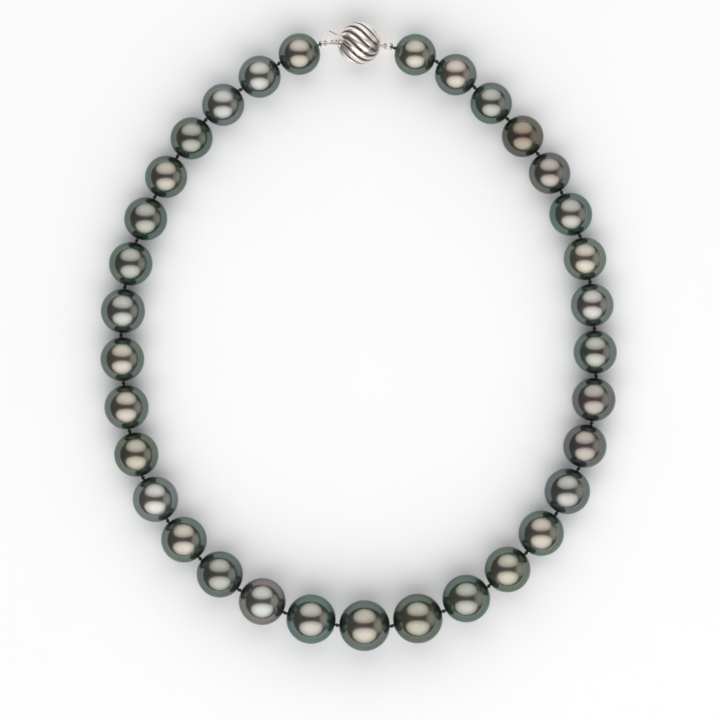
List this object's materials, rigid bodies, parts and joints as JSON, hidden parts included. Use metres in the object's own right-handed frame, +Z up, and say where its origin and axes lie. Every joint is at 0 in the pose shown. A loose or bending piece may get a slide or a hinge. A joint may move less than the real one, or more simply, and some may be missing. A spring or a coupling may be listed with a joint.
{
  "type": "pearl necklace",
  "caption": "Graduated strand of dark round pearls knotted on black silk, closed by a pierced fluted ball clasp with a spring tongue.",
  "frame": {"origin": "centre of the strand's outline, on the surface it lies on", "axes": "+Z up from the surface, +Y from the strand's middle towards the clasp, +X towards the ball's side of the clasp"},
  "size_m": [0.1421, 0.1729, 0.014],
  "materials": {
    "pearl": "gloss",
    "silk": "satin",
    "white_gold": "polished"
  },
  "bodies": {
    "link_01": {"pearl_01": "pearl", "silk_end_left": "silk"},
    "link_02": {"pearl_02": "pearl", "silk_02": "silk"},
    "link_03": {"pearl_03": "pearl"},
    "link_04": {"pearl_04": "pearl", "silk_04": "silk"},
    "link_05_06": {"pearl_05": "pearl", "pearl_06": "pearl", "silk_06": "silk"},
    "link_07_08": {"pearl_07": "pearl", "pearl_08": "pearl", "silk_08": "silk"},
    "link_09_10": {"pearl_09": "pearl", "pearl_10": "pearl", "silk_10": "silk"},
    "link_11_13": {"pearl_11": "pearl", "pearl_12": "pearl", "silk_12": "silk", "pearl_13": "pearl"},
    "link_14_16": {"pearl_14": "pearl", "silk_14": "silk", "pearl_15": "pearl", "pearl_16": "pearl", "silk_16": "silk"},
    "link_17_18": {"pearl_17": "pearl", "pearl_18": "pearl", "silk_18": "silk"},
    "link_19_21": {"pearl_19": "pearl", "pearl_20": "pearl", "silk_20": "silk", "pearl_21": "pearl"},
    "link_22_24": {"pearl_22": "pearl", "silk_22": "silk", "pearl_23": "pearl", "pearl_24": "pearl", "silk_24": "silk"},
    "link_25_26": {"pearl_25": "pearl", "pearl_26": "pearl", "silk_26": "silk"},
    "link_27_28": {"pearl_27": "pearl", "pearl_28": "pearl", "silk_28": "silk"},
    "link_29_30": {"pearl_29": "pearl", "pearl_30": "pearl", "silk_30": "silk"},
    "link_31": {"pearl_31": "pearl"},
    "link_32": {"pearl_32": "pearl", "silk_32": "silk"},
    "link_33": {"pearl_33": "pearl", "silk_end_right": "silk"},
    "ring_left": {"jump_ring_left": "white_gold"},
    "ring_right": {"jump_ring_right": "white_gold"},
    "tongue": {"tongue_strip": "white_gold", "guard_loop": "white_gold"},
    "leaf": {"spring_leaf": "white_gold"},
    "ball": {"ball_shell": "white_gold", "catch_box": "white_gold", "ball_eye": "white_gold"}
  },
  "joints": [
    {"name": "knot_16_17", "type": "hinge", "parent": "link_17_18", "child": "link_14_16", "pos_m": [-0.00573, -0.07946, 0.00691], "axis": [0, 0, 1], "range_deg": [0, 4.39]},
    {"name": "knot_13_14", "type": "hinge", "parent": "link_14_16", "child": "link_11_13", "pos_m": [-0.04343, -0.06126, 0.00636], "axis": [0, 0, 1], "range_deg": [0, 5.51]},
    {"name": "knot_10_11", "type": "hinge", "parent": "link_11_13", "child": "link_09_10", "pos_m": [-0.06296, -0.02629, 0.00613], "axis": [0, 0, 1], "range_deg": [0, 5.44]},
    {"name": "knot_08_09", "type": "hinge", "parent": "link_09_10", "child": "link_07_08", "pos_m": [-0.06533, 0.00012, 0.0061], "axis": [0, 0, 1], "range_deg": [0, 2.63]},
    {"name": "knot_06_07", "type": "hinge", "parent": "link_07_08", "child": "link_05_06", "pos_m": [-0.06113, 0.02612, 0.00599], "axis": [0, 0, 1], "range_deg": [0, 1.92]},
    {"name": "knot_04_05", "type": "hinge", "parent": "link_05_06", "child": "link_04", "pos_m": [-0.04999, 0.04927, 0.00583], "axis": [0, 0, 1], "range_deg": [0, 0.69248]},
    {"name": "knot_03_04", "type": "hinge", "parent": "link_04", "child": "link_03", "pos_m": [-0.04224, 0.05937, 0.00583], "axis": [0, 0, 1], "range_deg": [0, 0.56167]},
    {"name": "knot_02_03", "type": "hinge", "parent": "link_03", "child": "link_02", "pos_m": [-0.03267, 0.06774, 0.00582], "axis": [0, 0, 1], "range_deg": [0, 0.45446]},
    {"name": "knot_01_02", "type": "hinge", "parent": "link_02", "child": "link_01", "pos_m": [-0.02219, 0.07491, 0.00578], "axis": [0, 0, 1], "range_deg": [0, 0.36423]},
    {"name": "knot_18_19", "type": "hinge", "parent": "link_17_18", "child": "link_19_21", "pos_m": [0.02352, -0.07551, 0.00672], "axis": [0, 0, -1], "range_deg": [0, 8.48]},
    {"name": "knot_21_22", "type": "hinge", "parent": "link_19_21", "child": "link_22_24", "pos_m": [0.05445, -0.04865, 0.00629], "axis": [0, 0, -1], "range_deg": [0, 5.11]},
    {"name": "knot_24_25", "type": "hinge", "parent": "link_22_24", "child": "link_25_26", "pos_m": [0.0653, -0.01073, 0.00601], "axis": [0, 0, -1], "range_deg": [0, 3.34]},
    {"name": "knot_26_27", "type": "hinge", "parent": "link_25_26", "child": "link_27_28", "pos_m": [0.06359, 0.01517, 0.00591], "axis": [0, 0, -1], "range_deg": [0, 1.78]},
    {"name": "knot_28_29", "type": "hinge", "parent": "link_27_28", "child": "link_29_30", "pos_m": [0.05572, 0.03964, 0.00584], "axis": [0, 0, -1], "range_deg": [0, 1.32]},
    {"name": "knot_30_31", "type": "hinge", "parent": "link_29_30", "child": "link_31", "pos_m": [0.04086, 0.05985, 0.00576], "axis": [0, 0, -1], "range_deg": [0, 0.53001]},
    {"name": "knot_31_32", "type": "hinge", "parent": "link_31", "child": "link_32", "pos_m": [0.03174, 0.0685, 0.00575], "axis": [0, 0, -1], "range_deg": [0, 0.43256]},
    {"name": "knot_32_33", "type": "hinge", "parent": "link_32", "child": "link_33", "pos_m": [0.02134, 0.07556, 0.00575], "axis": [0, 0, -1], "range_deg": [0, 0.35157]},
    {"name": "tongue_swing", "type": "hinge", "parent": "link_01", "child": "tongue", "pos_m": [-0.01004, 0.08058, 0.00597], "axis": [0, 0, 1], "range_deg": [-21.98, 0]},
    {"name": "ring_left_turn", "type": "hinge", "parent": "tongue", "child": "ring_left", "pos_m": [-0.01004, 0.08058, 0.00597], "axis": [0, 0, 1], "range_deg": [0, 10.99]},
    {"name": "ball_swing", "type": "hinge", "parent": "link_33", "child": "ball", "pos_m": [0.00787, 0.07986, 0.00597], "axis": [0, 0, -1], "range_deg": [-21.34, 0]},
    {"name": "ring_right_turn", "type": "hinge", "parent": "ball", "child": "ring_right", "pos_m": [0.00787, 0.07986, 0.00597], "axis": [0, 0, -1], "range_deg": [0, 10.67]},
    {"name": "lever_press", "type": "hinge", "parent": "tongue", "child": "leaf", "pos_m": [0.00162, 0.08118, 0.00597], "axis": [0, 0, -1], "range_deg": [-5, 2.5], "stiffness_Nm_per_rad": 0.05, "springref_deg": 2.5}
  ],
  "couplings": [
    {"joint": "knot_13_14", "follows": "knot_16_17", "ratio": 1.2541},
    {"joint": "knot_10_11", "follows": "knot_16_17", "ratio": 1.2375},
    {"joint": "knot_08_09", "follows": "knot_16_17", "ratio": 0.59834},
    {"joint": "knot_06_07", "follows": "knot_16_17", "ratio": 0.43686},
    {"joint": "knot_04_05", "follows": "knot_16_17", "ratio": 0.15746},
    {"joint": "knot_03_04", "follows": "knot_16_17", "ratio": 0.12771},
    {"joint": "knot_02_03", "follows": "knot_16_17", "ratio": 0.10333},
    {"joint": "knot_01_02", "follows": "knot_16_17", "ratio": 0.08281},
    {"joint": "knot_18_19", "follows": "knot_16_17", "ratio": 1.9279},
    {"joint": "knot_21_22", "follows": "knot_16_17", "ratio": 1.163},
    {"joint": "knot_24_25", "follows": "knot_16_17", "ratio": 0.75951},
    {"joint": "knot_26_27", "follows": "knot_16_17", "ratio": 0.40366},
    {"joint": "knot_28_29", "follows": "knot_16_17", "ratio": 0.30071},
    {"joint": "knot_30_31", "follows": "knot_16_17", "ratio": 0.12051},
    {"joint": "knot_31_32", "follows": "knot_16_17", "ratio": 0.09835},
    {"joint": "knot_32_33", "follows": "knot_16_17", "ratio": 0.07993},
    {"joint": "tongue_swing", "follows": "knot_16_17", "ratio": -4.9981},
    {"joint": "ring_left_turn", "follows": "knot_16_17", "ratio": 2.499},
    {"joint": "ball_swing", "follows": "knot_16_17", "ratio": -4.8535},
    {"joint": "ring_right_turn", "follows": "knot_16_17", "ratio": 2.4268}
  ]
}
